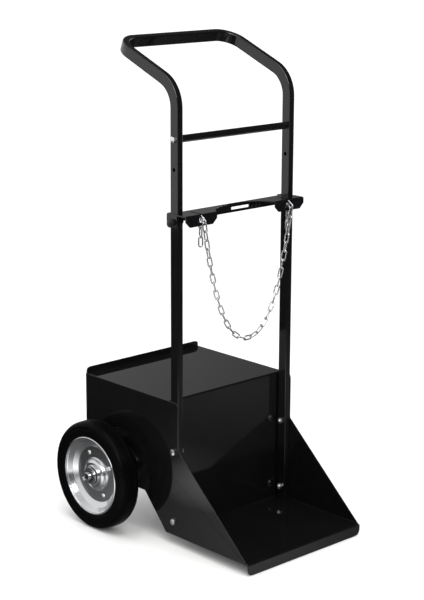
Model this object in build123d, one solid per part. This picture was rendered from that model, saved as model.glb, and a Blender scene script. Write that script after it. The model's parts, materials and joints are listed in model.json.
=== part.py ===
from build123d import *
import os
from math import atan, cos, degrees, radians, sin, tan

# Steel welding trolley (hand truck) for a gas cylinder and a machine.
# Millimetres. X runs across, -Y is the front where the cylinder stands, +Z is up.
# The model is drawn with Y = 0 in the uprights' middle plane, then moved so that the origin
# is on the ground under the middle of the whole trolley. Left is -X.

# --- sheet metal body
SHEET = 2.0                 # thickness of the body panels
HALF_WIDTH = 176.0          # outer face of each side plate
SHELF_TOP = 332.0
BOX_BACK = 306.0            # rear edge of the side plates
BOX_BOTTOM = 102.5
PANEL_FRONT = 15.0          # front face of the back panel, behind the uprights
PLATE_FRONT = -13.0         # front edge of the side plates, above the toe
SLOPE_TOP = 224.5           # where that edge starts to slope towards the toe
SLOPE_TURN = 98.0           # where the rear slope meets the bottom of the box
PLATE_CORNER = 13.0
LIP_UP = 14.0               # rear stop of the shelf
STOP_CORNER = 9.0
FOLD = 4.0                  # outer radius of a folded edge
TOE_FLOOR = 25.4            # top face of the toe plate
TOE_FRONT = -237.0
TOE_REAR = 27.0             # where the side plates' lower edge turns up
LIP_CORNER = 14.0

# --- tube frame: one rectangular tube bent into uprights, arms and grip
TUBE_X = 15.0
TUBE_Y = 25.0
TUBE_WALL = 1.5
TUBE_CORNER = 2.5
UPRIGHT_X = HALF_WIDTH - SHEET - TUBE_X / 2
KNEE_Z = 1017.0             # where the upright's and the arm's centre lines meet
ARM_REACH = 193.5
ARM_RISE = 79.7
KNEE_RADIUS = 66.0
GRIP_RADIUS = 45.0
CROSSBAR_Z = 908.0
CROSSBAR_RADIUS = 8.0
SPARE_HOLE_Z = 844.0
SPARE_HOLE_RADIUS = 4.25
BODY_BOLT_Z = [56.0, 218.0]
TAPPED_DEPTH = 26.0         # of the thread in each end of the crossbar

# --- bracket that steadies the cylinder
BRACKET_SHEET = 3.0
BRACKET_TOP = 750.0
BRACKET_HALF = 177.2
EAR_FRONT = -42.0
EAR_INNER = 88.0
EAR_HEIGHT = 25.0
EAR_CHAMFER = 12.0
FLANGE_BACK = 13.0
FLANGE_HALF = 155.0
FLANGE_HEIGHT = 21.0
TUBE_GAP = 0.2              # clearance of the cut-outs around the uprights
TAB_SPAN = [-12.0, 20.0]
TAB_HEIGHT = 30.5
CYLINDER_RADIUS = 102.0
CYLINDER_CENTRE = -92.0
KEYHOLE_X = 131.5
KEYHOLE_RADIUS = 9.0
KEYHOLE_Z = 740.5
KEY_SLOT_WIDTH = 5.0
KEY_SLOT_BACK = -4.0
STRAP_SLOT = [3.0, 58.0, 734.4, 741.0]     # low and high X, low and high Z
BRACKET_BOLT_Z = 732.0

# --- M8 fasteners
BOLT_RADIUS = 4.0
BOLT_HOLE = 4.1
HEX_FLATS = 13.0
HEAD_HEIGHT = 5.3
NUT_HEIGHT = 6.5
BOLT_SPARE = 3.0            # of a shank beyond its nut

# --- chain
WIRE = 1.5                  # radius of the chain's wire
LINK_HALF = 4.5             # from a link's middle line to its wire's centre line
PITCH = 19.6
PLAY = 0.3                  # slack at each joint between two links
CHAIN_LINKS = 33
TAIL_LINKS = 3
ANCHOR_Y = -42.5
ANCHOR_Z = 738.8
ANCHOR_TILT = 35.0
TAIL_Y = -37.2

# --- wheels and axle
WHEEL_RADIUS = 125.0
WHEEL_Y = 206.0
WHEEL_MIDDLE = 227.0        # from the trolley's middle to the wheel's middle
AXLE_RADIUS = 10.0
AXLE_HALF = 259.0
RUNNING = 0.05              # radial clearance of the bearings on the axle
RIM_BORE = 23.1
HUB_RADIUS = 23.0
HUB_BORE = 17.0
HUB_SPAN = [191.0, 243.0]
BEARING_LENGTH = 14.0
BEARING_FLANGE = 2.5
RIVET_CIRCLE = 52.0
RIVET_ANGLES = [62.0, 152.0, 242.0, 332.0]
RIVET_RADIUS = 3.0
RIVET_DOME = 6.5            # radius of the ball that a rivet's head is cut from
RIVET_HEAD = 2.5            # height of the head
CIRCLIP_RADIUS = 12.5
GROOVE_DEEP = 0.7
GROOVE_PLAY = 0.1
LUG_HALF = 5.0
LUG_SPAN = [10.5, 14.5]     # below the axle's centre
LUG_GAP = 1.5
SPACER_END = 186.0
SPACER_RADIUS = 15.0
WASHER_THICK = 2.0
INNER_WASHER_RADIUS = 18.0
OUTER_WASHER_AT = 245.8
OUTER_WASHER_RADIUS = 20.0
CIRCLIP_AT = 248.0
CIRCLIP_THICK = 1.5

SIDES = {"left": -1, "right": 1}
MIDDLE_Y = (TOE_FRONT + WHEEL_Y + WHEEL_RADIUS) / 2


def box(x, y, z):
    """A block between two values on each axis."""
    size = [abs(span[1] - span[0]) for span in (x, y, z)]
    middle = [(span[0] + span[1]) / 2 for span in (x, y, z)]
    return Pos(*middle) * Box(*size)


def cross_hole(x, y, z, radius):
    """A cylinder along X between two X values."""
    middle = (x[0] + x[1]) / 2
    return Pos(middle, y, z) * Rot(0, 90, 0) * Cylinder(radius, abs(x[1] - x[0]))


def outline(points, rounds=()):
    """A flat face from corner points; rounds lists (corner, radius)."""
    face = make_face(Polyline(*points, close=True))
    for corner, radius in rounds:
        vertex = face.vertices().sort_by_distance(Vector(*corner))[0]
        face = fillet(vertex, radius)
    return face


def extruded_x(face, low, high):
    """A face drawn in Y and Z, made solid between two X values."""
    plane = Plane((low, 0, 0), x_dir=(0, 1, 0), z_dir=(1, 0, 0))
    return extrude(plane * face, high - low)


def extruded_y(face, low, high):
    """A face drawn in X and Z, made solid between two Y values."""
    plane = Plane((0, high, 0), x_dir=(1, 0, 0), z_dir=(0, -1, 0))
    return extrude(plane * face, high - low)


def turned(points, side):
    """A ring about the wheel's axis from (distance from the middle, radius) points."""
    face = make_face(Polyline(*[(side * along, radius) for along, radius in points], close=True))
    ring = revolve(Plane.XZ * face, Axis.X)
    return Pos(0, WHEEL_Y, WHEEL_RADIUS) * ring


def sleeve(side, low, high, inner, outer):
    """A plain ring on the axle between two distances from the middle."""
    return turned([(low, inner), (high, inner), (high, outer), (low, outer)], side)


def hexagon(radius_flats, height):
    """A hexagonal prism on the XY plane with its top edges turned off."""
    prism = extrude(RegularPolygon(radius_flats, 6, major_radius=False), height)
    cone_foot = radius_flats / cos(radians(30)) + height - 0.6
    return prism & Pos(0, 0, height / 2) * Cone(cone_foot, cone_foot - height, height)


def along_x(shape, x, y, z, side):
    """Stand a shape modelled along +Z on a point, so that it points to one side."""
    return Pos(x, y, z) * Rot(0, 90 * side, 0) * shape


# --- the bent tube ---------------------------------------------------------

def tube_body(width, depth, corner):
    """One closed bar along the tube's route, as straight runs and turned bends."""
    knee = 90 - degrees(atan(ARM_RISE / ARM_REACH))
    knee_cut = KNEE_RADIUS * tan(radians(knee) / 2)
    grip_cut = GRIP_RADIUS
    arm_length = (ARM_REACH**2 + ARM_RISE**2) ** 0.5
    foot = TOE_FLOOR - SHEET
    upright = KNEE_Z - foot - knee_cut
    arm = arm_length - knee_cut - grip_cut
    grip = 2 * UPRIGHT_X - 2 * grip_cut
    steps = [
        ("run", upright), ("bend", KNEE_RADIUS, knee, "back"), ("run", arm),
        ("bend", GRIP_RADIUS, 90, "side"), ("run", grip), ("bend", GRIP_RADIUS, 90, "side"),
        ("run", arm), ("bend", KNEE_RADIUS, knee, "back"), ("run", upright),
    ]
    place = Vector(-UPRIGHT_X, 0, foot)
    across = Vector(1, 0, 0)
    ahead = Vector(0, 0, 1)
    bar = None
    for step in steps:
        plane = Plane(place, x_dir=across, z_dir=ahead)
        face = plane * RectangleRounded(width, depth, corner)
        if step[0] == "run":
            piece = extrude(face, step[1])
            place = place + ahead * step[1]
        else:
            inward = plane.y_dir if step[3] == "back" else across
            centre = place + inward * step[1]
            axis = Axis(centre, ahead.cross(inward))
            piece = revolve(face, axis, step[2])
            place = centre + (place - centre).rotate(axis, step[2])
            across = across.rotate(axis, step[2])
            ahead = ahead.rotate(axis, step[2])
        bar = piece if bar is None else bar + piece
    return bar


def handle_frame():
    """The tube with its cross holes; it is open at both feet."""
    frame = tube_body(TUBE_X, TUBE_Y, TUBE_CORNER)
    bore = tube_body(TUBE_X - 2 * TUBE_WALL, TUBE_Y - 2 * TUBE_WALL, TUBE_CORNER - TUBE_WALL)
    frame = frame - bore
    reach = (-UPRIGHT_X - TUBE_X, UPRIGHT_X + TUBE_X)
    for height in BODY_BOLT_Z + [BRACKET_BOLT_Z, CROSSBAR_Z]:
        frame = frame - cross_hole(reach, 0, height, BOLT_HOLE)
    return frame - cross_hole(reach, 0, SPARE_HOLE_Z, SPARE_HOLE_RADIUS)


def crossbar():
    """A round bar between the uprights, tapped at both ends."""
    half = UPRIGHT_X - TUBE_X / 2
    bar = cross_hole((-half, half), 0, CROSSBAR_Z, CROSSBAR_RADIUS)
    for side in SIDES.values():
        bar = bar - cross_hole((side * (half - TAPPED_DEPTH), side * (half + 1)), 0, CROSSBAR_Z, BOLT_RADIUS)
    return bar


# --- sheet metal -----------------------------------------------------------

def shelf_panel():
    """Shelf, rear stop and back panel, folded from one sheet."""
    back, front, top = BOX_BACK, PANEL_FRONT, SHELF_TOP
    foot = TOE_FLOOR - SHEET
    points = [
        (front, foot), (front, top), (back - SHEET, top), (back - SHEET, top + LIP_UP),
        (back, top + LIP_UP), (back, top - SHEET), (front + SHEET, top - SHEET),
        (front + SHEET, foot),
    ]
    rounds = [((front, top), FOLD), ((front + SHEET, top - SHEET), FOLD - SHEET),
              ((back - SHEET, top), 1.0), ((back, top - SHEET), 1.0 + SHEET)]
    half = HALF_WIDTH - SHEET
    sheet = extruded_x(outline(points, rounds), -half, half)
    rear_view = outline([(-half, 0), (half, 0), (half, top + LIP_UP), (-half, top + LIP_UP)],
                        [((side * half, top + LIP_UP), STOP_CORNER) for side in SIDES.values()])
    return sheet & extruded_y(rear_view, front - 1, back + 1)


def side_plate(side):
    """The box's side and the toe's cheek in one plate."""
    points = [
        (BOX_BACK, BOX_BOTTOM), (BOX_BACK, SHELF_TOP), (PLATE_FRONT, SHELF_TOP),
        (PLATE_FRONT, SLOPE_TOP), (TOE_FRONT + SHEET, TOE_FLOOR - SHEET),
        (TOE_REAR, TOE_FLOOR - SHEET), (SLOPE_TURN, BOX_BOTTOM),
    ]
    face = outline(points, [((PLATE_FRONT, SHELF_TOP), PLATE_CORNER), ((BOX_BACK, BOX_BOTTOM), 5.0)])
    outer, inner = side * HALF_WIDTH, side * (HALF_WIDTH - SHEET)
    plate = extruded_x(face, min(outer, inner), max(outer, inner))
    reach = (outer - 5, outer + 5)
    for height in BODY_BOLT_Z:
        plate = plate - cross_hole(reach, 0, height, BOLT_HOLE)
    return plate - cross_hole(reach, WHEEL_Y, WHEEL_RADIUS, AXLE_RADIUS + RUNNING)


def toe_plate():
    """The floor that the cylinder stands on, with its front edge folded down to the ground."""
    top, front = TOE_FLOOR, TOE_FRONT
    inside = HALF_WIDTH - SHEET
    floor = box((-inside, inside), (front + FOLD, PANEL_FRONT), (top - SHEET, top))
    points = [(front, 0), (front, top), (front + FOLD, top), (front + FOLD, top - SHEET),
              (front + SHEET, top - SHEET), (front + SHEET, 0)]
    lip = extruded_x(outline(points, [((front, top), FOLD - 1.5)]), -HALF_WIDTH, HALF_WIDTH)
    half = HALF_WIDTH
    front_view = outline([(-half, 0), (half, 0), (half, top), (-half, top)],
                         [((-half, 0), LIP_CORNER), ((half, 0), LIP_CORNER)])
    lip = lip & extruded_y(front_view, front - 1, front + 10)
    for side in SIDES.values():
        cheek = (side * inside, side * (half + 1))
        lip = lip - box(cheek, (front + SHEET, front + 10), (0, top + 1))
        foot = (side * (UPRIGHT_X - TUBE_X / 2 - TUBE_GAP), side * half)
        floor = floor - box(foot, (-TUBE_Y / 2 - TUBE_GAP, PANEL_FRONT + 1), (0, top + 1))
    return floor + lip


def cylinder_bracket():
    """A folded plate around both uprights with two ears that hold the chain."""
    top, sheet = BRACKET_TOP, BRACKET_SHEET
    low = top - sheet
    back = TAB_SPAN[1]
    plate = box((-BRACKET_HALF + FOLD, BRACKET_HALF - FOLD), (EAR_FRONT + FOLD, FLANGE_BACK - FOLD),
                (low, top))
    flange_view = [(FLANGE_BACK - FOLD, top), (FLANGE_BACK, top), (FLANGE_BACK, top - FLANGE_HEIGHT),
                   (FLANGE_BACK - sheet, top - FLANGE_HEIGHT), (FLANGE_BACK - sheet, low),
                   (FLANGE_BACK - FOLD, low)]
    flange = outline(flange_view, [((FLANGE_BACK, top), FOLD - 0.5)])
    bracket = plate + extruded_x(flange, -FLANGE_HALF, FLANGE_HALF)
    ear_view = [(EAR_FRONT + FOLD, top), (EAR_FRONT, top), (EAR_FRONT, top - EAR_HEIGHT),
                (EAR_FRONT + sheet, top - EAR_HEIGHT), (EAR_FRONT + sheet, low), (EAR_FRONT + FOLD, low)]
    ear = outline(ear_view, [((EAR_FRONT, top), FOLD - 0.5)])
    bottom = top - EAR_HEIGHT
    for side in SIDES.values():
        inner, outer = side * EAR_INNER, side * BRACKET_HALF
        bracket = bracket + extruded_x(ear, min(inner, outer), max(inner, outer))
        for corner, turn in ((inner, side), (outer, -side)):
            cut = [(corner, bottom), (corner + turn * EAR_CHAMFER, bottom), (corner, bottom + EAR_CHAMFER)]
            bracket = bracket - extruded_y(make_face(Polyline(*cut, close=True)), EAR_FRONT - 1,
                                           EAR_FRONT + sheet + 0.5)
        shoulder = (side * FLANGE_HALF, side * (BRACKET_HALF - FOLD))
        bracket = bracket + box(shoulder, (FLANGE_BACK - FOLD, back), (low, top))
        x1, x2 = BRACKET_HALF - FOLD, BRACKET_HALF
        tab_view = [(side * x1, top), (side * x2, top), (side * x2, top - TAB_HEIGHT),
                    (side * (x2 - sheet), top - TAB_HEIGHT), (side * (x2 - sheet), low), (side * x1, low)]
        tab = extruded_y(outline(tab_view, [((side * x2, top), FOLD - 0.5)]), *TAB_SPAN)
        strip = box((side * x1, side * x2), (EAR_FRONT + FOLD, TAB_SPAN[0]), (low, top))
        rounding = outline([(TAB_SPAN[0], top - TAB_HEIGHT), (TAB_SPAN[1], top - TAB_HEIGHT),
                            (TAB_SPAN[1], top), (TAB_SPAN[0], top)],
                           [((TAB_SPAN[0], top - TAB_HEIGHT), 7.0), ((TAB_SPAN[1], top - TAB_HEIGHT), 7.0)])
        span = (side * (x1 - 1), side * (x2 + 1))
        tab = tab & extruded_x(rounding, min(span), max(span))
        bracket = bracket + tab + strip
        window = (side * (UPRIGHT_X - TUBE_X / 2 - TUBE_GAP), side * (UPRIGHT_X + TUBE_X / 2 + TUBE_GAP))
        half_deep = TUBE_Y / 2 + TUBE_GAP
        bracket = bracket - box(window, (-half_deep, half_deep), (low - 2, top + 1))
        bracket = bracket - cross_hole((side * (x1 - 3), side * (x2 + 3)), 0, BRACKET_BOLT_Z, BOLT_HOLE)
        middle = side * KEYHOLE_X
        keyhole = Pos(middle, EAR_FRONT, KEYHOLE_Z) * Rot(90, 0, 0) * Cylinder(KEYHOLE_RADIUS, 3 * sheet)
        below = box((-BRACKET_HALF, BRACKET_HALF), (EAR_FRONT - FOLD, 0), (low - FLANGE_HEIGHT, low))
        bracket = bracket - (keyhole & below)
        slot = (middle - KEY_SLOT_WIDTH / 2, middle + KEY_SLOT_WIDTH / 2)
        bracket = bracket - box(slot, (EAR_FRONT - 1, KEY_SLOT_BACK), (KEYHOLE_Z, top + 1))
    bracket = bracket - Pos(0, CYLINDER_CENTRE, top) * Cylinder(CYLINDER_RADIUS, 4 * sheet)
    x1, x2, z1, z2 = STRAP_SLOT
    return bracket - box((x1, x2), (FLANGE_BACK - 2 * sheet, FLANGE_BACK + 1), (z1, z2))


# --- fasteners -------------------------------------------------------------

def hex_bolt(length):
    """A hex bolt whose head stands on +Z and whose shank goes down."""
    return hexagon(HEX_FLATS / 2, HEAD_HEIGHT) + Pos(0, 0, -length / 2) * Cylinder(BOLT_RADIUS, length)


def hex_nut():
    """A nut on the XY plane."""
    return hexagon(HEX_FLATS / 2, NUT_HEIGHT) - Cylinder(BOLT_RADIUS, 40)


def bolt_group(face_x, heights, length):
    """Bolts on both sides with their heads outside."""
    return [along_x(hex_bolt(length), side * face_x, 0, height, side)
            for side in SIDES.values() for height in heights]


def nut_group(heights):
    """Nuts on the inner faces of both uprights."""
    inner = UPRIGHT_X - TUBE_X / 2
    return [along_x(hex_nut(), side * inner, 0, height, -side)
            for side in SIDES.values() for height in heights]


# --- chain -----------------------------------------------------------------

LINK_STRAIGHT = PITCH + PLAY - 2 * (LINK_HALF - WIRE)
HOOK = WIRE + PLAY / 2      # from a joint's middle to the wire's centre beyond it


def link(middle, along, flat):
    """A link of round wire; along is its length's direction and flat its width's."""
    half = LINK_STRAIGHT / 2
    wire = None
    for end in (1, -1):
        section = Plane((end * half, end * LINK_HALF, 0), x_dir=(0, 1, 0), z_dir=(1, 0, 0)) * Circle(WIRE)
        bend = revolve(section, Axis((end * half, 0, 0), (0, 0, -1)), 180)
        rod = extrude(Plane((-half, end * LINK_HALF, 0), x_dir=(0, 1, 0), z_dir=(1, 0, 0)) * Circle(WIRE),
                      2 * half)
        wire = bend + rod if wire is None else wire + bend + rod
    plane = Plane(Vector(*middle), x_dir=Vector(*along), z_dir=Vector(*along).cross(Vector(*flat)))
    return plane * wire


def anchor_direction():
    """Unit vector in Y and Z of the link held in a keyhole, towards its front end."""
    tilt = radians(ANCHOR_TILT)
    return -cos(tilt), -sin(tilt)


def chain_hook():
    """Y and Z of the wire centre where the hanging chain's end link sits in the anchor link."""
    ahead, down = anchor_direction()
    reach = LINK_STRAIGHT / 2
    return ANCHOR_Y + reach * ahead, ANCHOR_Z + reach * down - (LINK_HALF - HOOK - WIRE)


def tail_hook():
    """Y and Z of the wire centre where a tail hangs on the anchor link, behind the ear."""
    ahead, down = anchor_direction()
    offset = LINK_HALF - HOOK - WIRE
    y = ANCHOR_Y - offset * down
    z = ANCHOR_Z + offset * ahead
    slide = (TAIL_Y - y) / ahead
    return TAIL_Y, z + slide * down


def hanging_angles():
    """Each link's angle, from the weight that it carries: its tangent grows evenly from the middle."""
    half = (CHAIN_LINKS - 1) // 2
    low, high = 0.01, 5.0
    for _ in range(60):
        rate = (low + high) / 2
        angles = [atan(rate * index) for index in range(-half, half + 1)]
        span = sum(PITCH * cos(angle) for angle in angles) + 2 * HOOK * cos(angles[0])
        low, high = (rate, high) if span > 2 * KEYHOLE_X else (low, rate)
    return angles


def hanging_chain():
    """The chain between the two ears, as the row of links that gravity gives."""
    y, z = chain_hook()
    angles = hanging_angles()
    x = -KEYHOLE_X + HOOK * cos(angles[0])
    z = z + HOOK * sin(angles[0])
    links = []
    for number, angle in enumerate(angles):
        along = (cos(angle), 0, sin(angle))
        middle = (x + PITCH / 2 * along[0], y, z + PITCH / 2 * along[2])
        flat = (-sin(angle), 0, cos(angle)) if number % 2 == 0 else (0, 1, 0)
        links.append(link(middle, along, flat))
        x, z = x + PITCH * along[0], z + PITCH * along[2]
    return links


def anchor_links():
    """One link through each keyhole, on edge."""
    ahead, down = anchor_direction()
    return [link((side * KEYHOLE_X, ANCHOR_Y, ANCHOR_Z), (0, ahead, down), (0, -down, ahead))
            for side in SIDES.values()]


def chain_tail(side):
    """The spare links behind an ear."""
    y, z = tail_hook()
    top = z - HOOK
    return [link((side * KEYHOLE_X, y, top - PITCH * (number + 0.5)), (0, 0, -1),
                 (1, 0, 0) if number % 2 == 0 else (0, 1, 0)) for number in range(TAIL_LINKS)]


# --- wheels ----------------------------------------------------------------

RIM_OUTER_FACE = [(11, RIM_BORE), (11, 28), (9, 34), (4, 36.5), (2, 38.5), (2, 65), (3.5, 67.5),
                  (15.5, 81), (18.5, 84.5), (20.5, 87.5), (20.5, 91)]
RIM_INNER_FACE = [(18.5, 91), (18.5, 88.2), (16.8, 86), (14, 83), (2.2, 69.6), (0, 66), (0, 37.5),
                  (2.2, 35), (7, 33), (9, 27.6), (9, RIM_BORE)]


def rim_half(side, facing):
    """One pressed dish of the rim; facing is 1 for the outer dish and -1 for the inner."""
    points = [(WHEEL_MIDDLE + facing * along, radius) for along, radius in RIM_OUTER_FACE + RIM_INNER_FACE]
    dish = turned(points, side)
    return dish - rivet_set(side, RIVET_RADIUS + 0.05, False)


def rivet_set(side, radius, heads=True):
    """The rivets that join the two dishes, or the pins that cut their holes."""
    group = []
    for angle in RIVET_ANGLES:
        y = WHEEL_Y + RIVET_CIRCLE * cos(radians(angle))
        z = WHEEL_RADIUS + RIVET_CIRCLE * sin(radians(angle))
        middle = side * WHEEL_MIDDLE
        rivet = cross_hole((middle - SHEET, middle + SHEET), y, z, radius)
        for facing in (1, -1) if heads else ():
            foot = RIVET_DOME - RIVET_HEAD
            cap = box((-RIVET_DOME, RIVET_DOME), (-RIVET_DOME, RIVET_DOME), (foot, RIVET_DOME))
            dome = Pos(0, 0, -foot) * (Sphere(RIVET_DOME) & cap)
            rivet = rivet + along_x(dome, middle + facing * SHEET, y, z, facing)
        group.append(rivet)
    return group


def tyre(side):
    """A solid rubber tyre seated in the rim's V."""
    half = [(20.5, 91.3), (22, 91.6), (23.2, 95), (23.5, 99), (23.5, 112.5), (22.9, 116.5), (21.2, 120),
            (18.4, 122.8), (14.5, 124.5), (9, WHEEL_RADIUS)]
    bead = [(18.3, 91.3), (18.3, 88.4), (16.6, 86.2), (13.8, 83.3), (2, 70)]
    right = [(WHEEL_MIDDLE + along, radius) for along, radius in bead[::-1] + half]
    left = [(WHEEL_MIDDLE - along, radius) for along, radius in (bead[::-1] + half)[::-1]]
    return turned(right + left, side)


def hub_bearings(side):
    """A flanged bush in each end of the hub tube."""
    inner = AXLE_RADIUS + RUNNING
    group = []
    for end, outward in ((HUB_SPAN[0], -1), (HUB_SPAN[1], 1)):
        deep = end - outward * BEARING_LENGTH
        face = end + outward * BEARING_FLANGE
        group.append(turned([(deep, inner), (face, inner), (face, 20), (end, 20), (end, HUB_BORE),
                             (deep, HUB_BORE)], side))
    return group


def axle():
    """The round axle through both side plates, with a groove for each circlip."""
    shaft = cross_hole((-AXLE_HALF, AXLE_HALF), 0, 0, AXLE_RADIUS)
    shaft = chamfer(shaft.edges().filter_by(GeomType.CIRCLE), 1.5)
    shaft = Pos(0, WHEEL_Y, WHEEL_RADIUS) * shaft
    for side in SIDES.values():
        low, high = CIRCLIP_AT - GROOVE_PLAY, CIRCLIP_AT + CIRCLIP_THICK + GROOVE_PLAY
        shaft = shaft - sleeve(side, low, high, AXLE_RADIUS - GROOVE_DEEP, AXLE_RADIUS + 1)
    return shaft


def circlip(side):
    """An open ring in the axle's groove, with two lugs at its gap."""
    inner = AXLE_RADIUS - GROOVE_DEEP + GROOVE_PLAY / 2
    ring = sleeve(side, CIRCLIP_AT, CIRCLIP_AT + CIRCLIP_THICK, inner, CIRCLIP_RADIUS)
    span = (side * CIRCLIP_AT, side * (CIRCLIP_AT + CIRCLIP_THICK))
    y, z = WHEEL_Y, WHEEL_RADIUS
    low, high = LUG_SPAN
    lugs = box(span, (y - LUG_HALF, y + LUG_HALF), (z - high, z - low))
    gap = box(span, (y - LUG_GAP, y + LUG_GAP), (z - high, z))
    return ring + lugs - gap


def axle_rings(low, high, outer):
    """The same loose ring on the left and the right end of the axle."""
    return [sleeve(side, low, high, AXLE_RADIUS + RUNNING, outer) for side in SIDES.values()]


# --- every node ------------------------------------------------------------

nut_grip = TUBE_X + NUT_HEIGHT

nodes = {
    "handle_frame": handle_frame(),
    "crossbar": crossbar(),
    "crossbar_bolts": bolt_group(UPRIGHT_X + TUBE_X / 2, [CROSSBAR_Z], TUBE_X + TAPPED_DEPTH - 4),
    "cylinder_bracket": cylinder_bracket(),
    "bracket_bolts": bolt_group(BRACKET_HALF, [BRACKET_BOLT_Z], nut_grip + BRACKET_SHEET + BOLT_SPARE),
    "bracket_nuts": nut_group([BRACKET_BOLT_Z]),
    "body_bolts": bolt_group(HALF_WIDTH, BODY_BOLT_Z, nut_grip + SHEET + BOLT_SPARE),
    "body_nuts": nut_group(BODY_BOLT_Z),
    "shelf_panel": shelf_panel(),
    "toe_plate": toe_plate(),
    "axle": axle(),
    "axle_spacers": axle_rings(HALF_WIDTH, SPACER_END, SPACER_RADIUS),
    "inner_washers": axle_rings(SPACER_END, SPACER_END + WASHER_THICK, INNER_WASHER_RADIUS),
    "outer_washers": axle_rings(OUTER_WASHER_AT, OUTER_WASHER_AT + WASHER_THICK, OUTER_WASHER_RADIUS),
    "axle_circlips": [circlip(side) for side in SIDES.values()],
    "chain_anchor_links": anchor_links(),
    "chain_main": hanging_chain(),
}
for name, side in SIDES.items():
    nodes["side_plate_" + name] = side_plate(side)
    nodes["chain_tail_" + name] = chain_tail(side)
    nodes["tyre_" + name] = tyre(side)
    nodes["rim_outer_" + name] = rim_half(side, 1)
    nodes["rim_inner_" + name] = rim_half(side, -1)
    nodes["rim_rivets_" + name] = rivet_set(side, RIVET_RADIUS)
    nodes["hub_tube_" + name] = sleeve(side, HUB_SPAN[0], HUB_SPAN[1], HUB_BORE, HUB_RADIUS)
    nodes["hub_bearings_" + name] = hub_bearings(side)

os.makedirs("parts", exist_ok=True)
for name, shape in nodes.items():
    pieces = shape if isinstance(shape, list) else [shape]
    placed = [Part((Pos(0, -MIDDLE_Y, 0) * piece).wrapped) for piece in pieces]
    export_step(Compound(children=placed), f"parts/{name}.step")
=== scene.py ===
import json
import math

import bpy
import numpy as np
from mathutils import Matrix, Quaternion, Vector


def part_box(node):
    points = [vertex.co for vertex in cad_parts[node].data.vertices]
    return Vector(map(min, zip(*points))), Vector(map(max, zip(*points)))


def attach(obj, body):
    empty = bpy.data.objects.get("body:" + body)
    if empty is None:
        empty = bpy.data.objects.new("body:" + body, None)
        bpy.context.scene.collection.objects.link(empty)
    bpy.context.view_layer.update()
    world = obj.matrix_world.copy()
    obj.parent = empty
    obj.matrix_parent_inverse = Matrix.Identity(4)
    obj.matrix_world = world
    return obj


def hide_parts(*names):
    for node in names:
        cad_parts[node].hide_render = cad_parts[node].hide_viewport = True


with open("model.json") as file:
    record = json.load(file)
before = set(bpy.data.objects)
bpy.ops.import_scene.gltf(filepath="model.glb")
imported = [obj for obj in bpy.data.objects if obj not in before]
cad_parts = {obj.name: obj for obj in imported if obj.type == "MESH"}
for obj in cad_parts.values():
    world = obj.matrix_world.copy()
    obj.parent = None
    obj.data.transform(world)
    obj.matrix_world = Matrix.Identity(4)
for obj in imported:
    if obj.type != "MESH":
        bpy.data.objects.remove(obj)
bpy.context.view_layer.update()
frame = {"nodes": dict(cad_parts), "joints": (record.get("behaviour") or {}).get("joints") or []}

bl_info = {
    "name": "Cylinder and welder trolley",
    "version": (1, 0, 0),
    "blender": (4, 5, 0),
    "location": "3D View > Sidebar > Trolley",
    "description": "Builds the looks of a steel hand truck for a gas cylinder around its CAD frame",
    "category": "Object",
}

MM = 0.001
SIDES = {"left": -1, "right": 1}
JOINTS = {joint["name"]: joint for joint in frame["joints"]}
TYRE_LOW, TYRE_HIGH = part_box("tyre_left")
WHEEL_Y = (TYRE_LOW.y + TYRE_HIGH.y) / 2
WHEEL_Z = (TYRE_LOW.z + TYRE_HIGH.z) / 2
WHEEL_MIDDLE = -(TYRE_LOW.x + TYRE_HIGH.x) / 2
PLATE_LOW, PLATE_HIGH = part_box("side_plate_left")
SHELF_LOW, SHELF_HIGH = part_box("shelf_panel")
TOE_LOW, TOE_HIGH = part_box("toe_plate")
ANCHOR_LOW, ANCHOR_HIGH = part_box("chain_anchor_links")
TUBE_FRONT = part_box("handle_frame")[0].y
TUBE_WIDE = 15 * MM
MICRON = 1e-6
ARC_SHARE = 0.49            # most of a side that one corner's arc may take
LEAST_ANGLE = 1e-3          # keeps a corner's tangent from dividing by nothing
NEARLY_ALL = 0.98           # of a sheet's half thickness that its edge radius may take
EDGE_STEPS = 5              # points round a quarter of a rounded edge
FINE = 1 * MM               # spacing of the points where a sheet's corner is rounded
BIT = 1 * MM                # a short way past such a corner
TWO_ROWS = 50 * MM          # a fastener node taller than this has two rows
LINK_PLAY = 0.3 * MM        # between two links that hang in each other
BUTT_SWELL = 0.1            # of a link's wire at its butt weld
BUTT_REACH = 1.6 * MM
RIPPLE = 2.4 * MM           # of a weld bead
RIPPLE_SWELL = 1 / 8


def colour(code):
    """Linear RGB from an sRGB hex code: a short straight line near black, then a power of 2.4."""
    channels = [int(code[at:at + 2], 16) / 255 for at in (0, 2, 4)]
    return [c / 12.92 if c <= 0.04045 else ((c + 0.055) / 1.055) ** 2.4 for c in channels]


# --- settings --------------------------------------------------------------

class TrolleyBody(bpy.types.PropertyGroup):
    """Sheet metal, tube and their coat."""
    coat: bpy.props.FloatVectorProperty(
        name="Coat", description="Colour of the powder coat", subtype="COLOR", size=3,
        min=0, max=1, default=colour("0c0c0d"))
    coat_roughness: bpy.props.FloatProperty(
        name="Coat roughness", description="How far the coat blurs what it mirrors",
        subtype="FACTOR", min=0, max=1, default=0.055)
    sheet: bpy.props.FloatProperty(
        name="Sheet", description="Thickness of the body panels", unit="LENGTH",
        default=PLATE_HIGH.x - PLATE_LOW.x)
    edge: bpy.props.FloatProperty(
        name="Edge", description="Radius that the coat gives a cut edge", unit="LENGTH",
        default=0.8 * MM)
    peel: bpy.props.FloatProperty(
        name="Peel", description="Size of the coat's orange peel", unit="LENGTH", default=2.2 * MM)


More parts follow.
